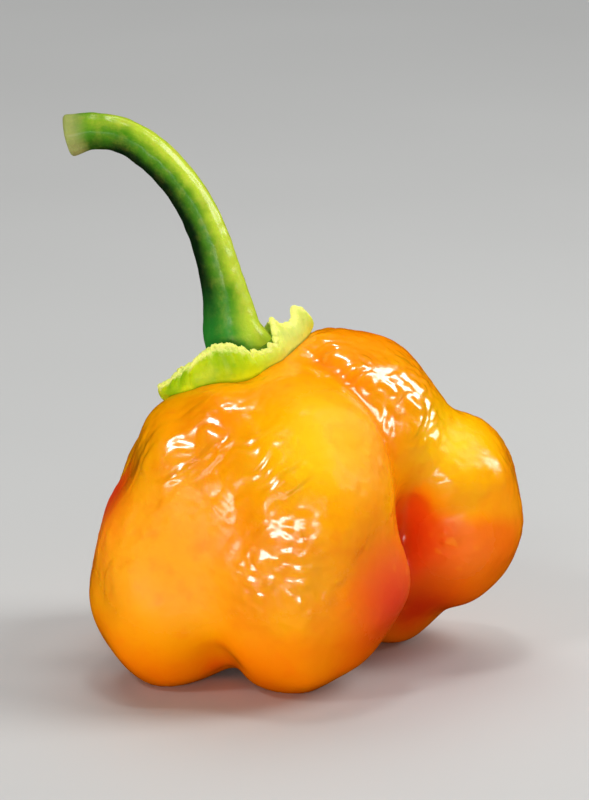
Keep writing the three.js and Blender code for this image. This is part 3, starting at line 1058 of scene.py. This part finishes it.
def calyx_tone(finish, place, flecks):
    """Lime with a greener band half way up and a pale ragged rim; painted light pales the right
    of the rim, and painted shade darkens the cup and the foot of the wall.
    """
    rim = finish.share("rim")
    clouds = finish.noise(place, size=3.2, detail=3.0)
    tone = finish.mix(finish.rise(clouds, low=0.3, high=0.58), LEAF_GREEN, LIME)
    band = finish.rise(rim, low=0.1, high=0.4) * (1 - finish.rise(rim, low=0.6, high=0.85))
    tone = finish.tinted(tone, LEAF_GREEN, band, strength=0.3)
    # painted light: paler over the right of the rim, which faces the light
    curl_light = finish.spot(place, RIGHT_CURL, reach=7.5)
    tone = finish.tinted(tone, RIM_PALE, curl_light, strength=0.65)
    # painted shade: darker green in the cup, inside the wall
    cup = finish.share("inside") * (1 - rim)
    tone = finish.tinted(tone, BOWL_GREEN, cup, strength=0.8)
    # painted shade: darker green where the wall meets the fruit's skin
    seam_shade = 1 - finish.rise(rim, low=0.0, high=0.12)
    tone = finish.tinted(tone, BOWL_GREEN, seam_shade, strength=0.5)
    ragged = finish.rise(rim + 0.5 * (flecks - 0.5), low=0.78, high=1.05)
    tone = finish.tinted(tone, RIM_PALE, ragged, strength=0.75)
    specks = finish.rise(flecks, low=0.58, high=0.8)
    return finish.tinted(tone, BOWL_GREEN, specks, strength=0.35)


def calyx_finish():
    finish = Finish("calyx_green")
    place = finish.place()
    flecks = finish.noise(place, size=0.7, detail=3.0, roughness=0.65)
    crinkles = finish.noise(place, size=1.5, detail=2.0)
    grain = finish.noise(place, size=0.4, detail=3.0, roughness=0.6)
    finish.surface(
        Base_Color=calyx_tone(finish, place, flecks),
        Roughness=0.4 + 0.2 * grain,
        Normal=finish.bump(0.15 * grain + 0.25 * flecks + 0.6 * crinkles, depth=0.3),
        Subsurface_Weight=0.25,
        Subsurface_Radius=(0.5, 1.0, 0.15),
        Subsurface_Scale=0.001,
        Specular_IOR_Level=0.15,
        Coat_Weight=0.05,
        Coat_Roughness=0.25,
    )
    return finish.material


STALK_GREEN = colour(72, 132, 12)
# STALK_DARK is the colour of the stalk's painted shade and STALK_LIGHT that of its painted light
STALK_DARK = colour(6, 30, 6)
STALK_LIGHT = colour(190, 212, 50)
STALK_GOLD = colour(206, 196, 70)
WET_GREEN = colour(44, 150, 44)
BARK = colour(176, 168, 104)
PITH = colour(206, 214, 150)


def stalk_tone(finish, turned, streaks):
    """Painted shade: near black on the side away from the light; painted light: lime with golden
    streaks on the side towards it; a fresher green at the foot, and bark and pith at the broken
    end."""
    along = finish.share("along")
    # painted shade: near black on the side away from the light, green between
    tone = finish.mix(finish.rise(turned, low=0.2, high=0.66), STALK_DARK, STALK_GREEN)
    foot = 1 - finish.rise(along, low=0.0, high=0.3)
    tone = finish.tinted(tone, WET_GREEN, foot, strength=0.8)
    # painted light: lime on the side towards the light
    tone = finish.tinted(tone, STALK_LIGHT, finish.rise(turned, low=0.6, high=0.98))
    # golden streaks are the stalk's own marks, laid on more strongly towards the light as painted
    # light
    golden = finish.rise(streaks, low=0.42, high=0.75) * finish.share("lit_side") ** 2.0
    tone = finish.tinted(tone, STALK_GOLD, golden, strength=0.5)
    tip = finish.rise(along, low=0.93, high=0.99)
    tone = finish.tinted(tone, BARK, tip, strength=0.6)
    return finish.tinted(tone, PITH, finish.rise(finish.share("scar"), low=0.35, high=0.9))


def stalk_finish():
    finish = Finish("stalk_green")
    place = finish.place()
    lit_side = finish.share("lit_side")
    clouds = finish.noise(place, size=4.0, detail=3.0)
    # how far a point faces the painted light, made uneven
    turned = lit_side + 0.5 * (clouds - 0.5)
    streaks = finish.noise(place, size=1.1, detail=3.0, roughness=0.6)
    grain = finish.noise(place, size=0.35, detail=3.0, roughness=0.6)
    finish.surface(
        Base_Color=stalk_tone(finish, turned, streaks),
        Roughness=0.62 - 0.3 * lit_side + 0.2 * finish.share("scar"),
        Normal=finish.bump(0.4 * grain + 0.6 * streaks, depth=0.14),
        Subsurface_Weight=0.12,
        Subsurface_Radius=(0.4, 1.0, 0.15),
        Subsurface_Scale=0.0008,
        Specular_IOR_Level=0.1,
        Coat_Weight=0.7 * finish.rise(turned, low=0.5, high=0.9),
        Coat_Roughness=0.24,
    )
    return finish.material


FLOOR_SHADE = colour(186, 186, 184)
FLOOR_PALE = colour(194, 194, 192)


def floor_finish():
    finish = Finish("pale_floor")
    cast = finish.noise(finish.place(), size=120.0, detail=2.0)
    finish.surface(Base_Color=finish.mix(cast, FLOOR_SHADE, FLOOR_PALE), Roughness=0.7)
    return finish.material


# ---- the studio ----

def add_floor():
    reach = FLOOR_REACH
    corners = [(-reach, -reach, 0), (reach, -reach, 0), (reach, reach, 0), (-reach, reach, 0)]
    mesh = bpy.data.meshes.new("floor")
    mesh.from_pydata(corners, [], [(0, 1, 2, 3)])
    mesh.materials.append(floor_finish())
    floor = bpy.data.objects.new("floor", mesh)
    bpy.context.scene.collection.objects.link(floor)
    floor.visible_glossy = False  # so that it doesn't wash out the lobes' undersides


def add_softbox(name, place, along, length, width, power, mirrored):
    """A soft rectangular light that faces the pepper, its long side along a direction."""
    light = bpy.data.lights.new(name, "AREA")
    light.shape = "RECTANGLE"
    light.size = length
    light.size_y = width
    light.energy = power
    outward = (Vector(place) - VIEW_TARGET).normalized()
    across = outward.cross(Vector(along)).normalized()
    turn = Matrix((across.cross(outward), across, outward)).transposed()
    box = bpy.data.objects.new(name, light)
    box.location = place
    box.rotation_euler = turn.to_euler()
    box.visible_camera = False
    box.visible_glossy = mirrored
    bpy.context.scene.collection.objects.link(box)


def add_lights():
    for name, settings in SOFTBOXES.items():
        add_softbox(name, *settings)


def add_sky():
    """A faint even light from all sides, which the glossy skin doesn't mirror."""
    world = bpy.data.worlds.new("studio")
    bpy.context.scene.world = world
    world.use_nodes = True
    background = world.node_tree.nodes["Background"]
    background.inputs["Color"].default_value = SKY_COLOUR
    background.inputs["Strength"].default_value = SKY_STRENGTH
    world.cycles_visibility.glossy = False


def add_camera():
    """A camera that looks at the pepper from the front and a little above, and shows its
    colours as they are given."""
    elevation = math.radians(VIEW_ELEVATION)
    back = Vector((0.0, -math.cos(elevation), math.sin(elevation)))
    camera = bpy.data.cameras.new("camera")
    camera.sensor_width = SENSOR
    camera.lens = SENSOR * VIEW_DISTANCE / VIEW_HEIGHT
    holder = bpy.data.objects.new("camera", camera)
    holder.location = VIEW_TARGET + back * VIEW_DISTANCE
    holder.rotation_euler = back.to_track_quat("Z", "Y").to_euler()
    bpy.context.scene.collection.objects.link(holder)
    bpy.context.scene.camera = holder
    bpy.context.scene.view_settings.view_transform = "Standard"


# ---- the whole ----

noise.seed_set(NOISE_SEED)
add_piece("fruit_skin", fruit_mesh(), "fruit", skin_finish())
add_piece("calyx_ruffle", calyx_mesh(), "calyx", calyx_finish())
add_piece("stalk_hook", stalk_mesh(), "stalk", stalk_finish())
add_floor()
add_lights()
add_sky()
add_camera()
